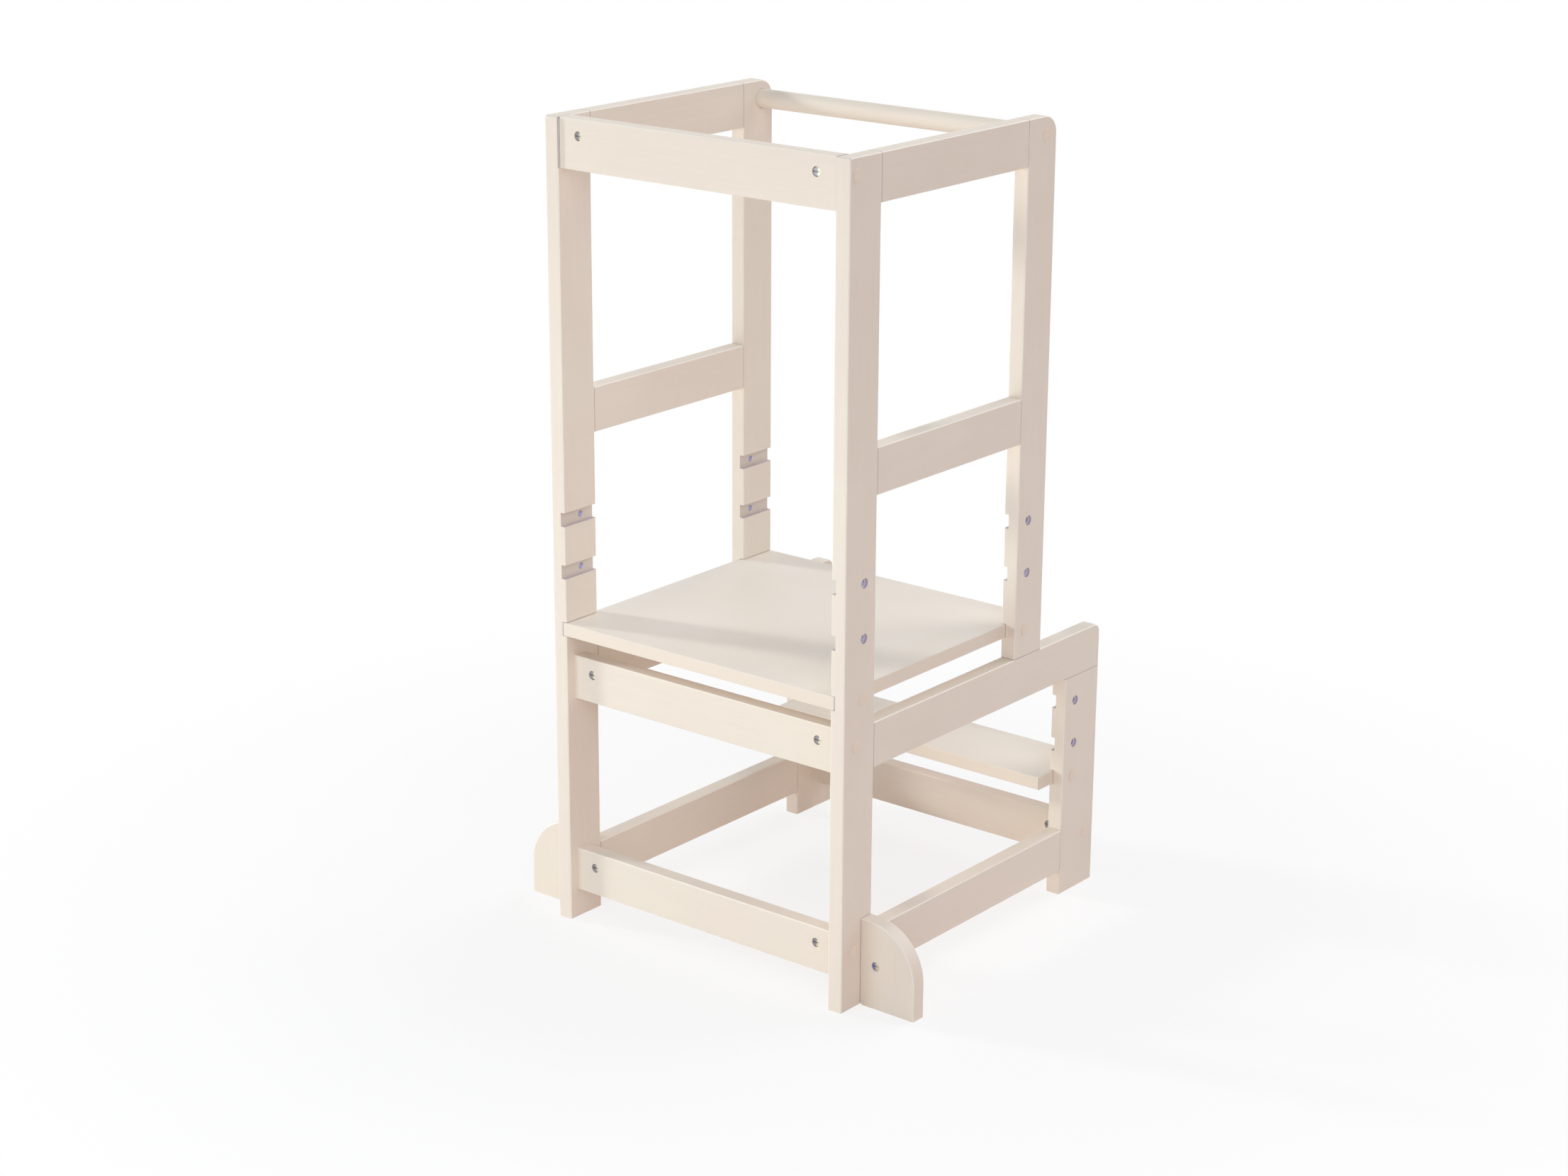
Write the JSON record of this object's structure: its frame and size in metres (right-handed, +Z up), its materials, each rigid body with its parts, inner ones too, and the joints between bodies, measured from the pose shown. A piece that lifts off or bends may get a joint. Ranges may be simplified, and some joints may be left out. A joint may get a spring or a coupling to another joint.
{
  "type": "toddler kitchen helper stool",
  "caption": "Painted wooden standing tower for a small child: platform between two guarded side frames, step behind, round handrail, side feet, spare grooves for a higher platform and step.",
  "frame": {"origin": "on the floor, at the centre of the stool's overall box", "axes": "+Z up; +Y towards the step and the open side; the front boards face -Y; X across, +X on the viewer's right from the front"},
  "size_m": [0.54, 0.474, 0.9],
  "materials": {
    "cream_paint": "satin cream paint on solid wood",
    "cream_panel": "satin cream paint on solid wood panels",
    "zinc_steel": "bright zinc-plated steel",
    "zinc_nut": "yellow zinc-plated steel",
    "beech": "bare beech",
    "cap_plastic": "matte cream plastic"
  },
  "bodies": {
    "root": {"front_post_left": "cream_paint", "front_post_right": "cream_paint", "rear_upright_left": "cream_paint", "rear_upright_right": "cream_paint", "top_rail_left": "cream_paint", "top_rail_right": "cream_paint", "middle_rail_left": "cream_paint", "middle_rail_right": "cream_paint", "shelf_rail_left": "cream_paint", "shelf_rail_right": "cream_paint", "bottom_rail_left": "cream_paint", "bottom_rail_right": "cream_paint", "step_leg_left": "cream_paint", "step_leg_right": "cream_paint", "stabiliser_foot_left": "cream_paint", "stabiliser_foot_right": "cream_paint", "front_top_board": "cream_paint", "front_middle_board": "cream_paint", "front_bottom_board": "cream_paint", "rear_cross_board": "cream_paint", "handrail": "cream_paint", "platform": "cream_panel", "step_tread": "cream_panel", "board_bolts": "zinc_steel", "board_barrel_nuts": "zinc_nut", "platform_bolts": "zinc_steel", "platform_barrel_nuts": "zinc_nut", "step_tread_bolts": "zinc_steel", "step_tread_barrel_nuts": "zinc_nut", "foot_bolts": "zinc_steel", "foot_barrel_nuts": "zinc_nut", "handrail_screws": "zinc_steel", "board_dowels": "beech", "foot_dowels": "beech", "frame_dowels_left": "beech", "frame_dowels_right": "beech", "cover_caps_left": "cap_plastic", "cover_caps_right": "cap_plastic"}
  },
  "joints": []
}
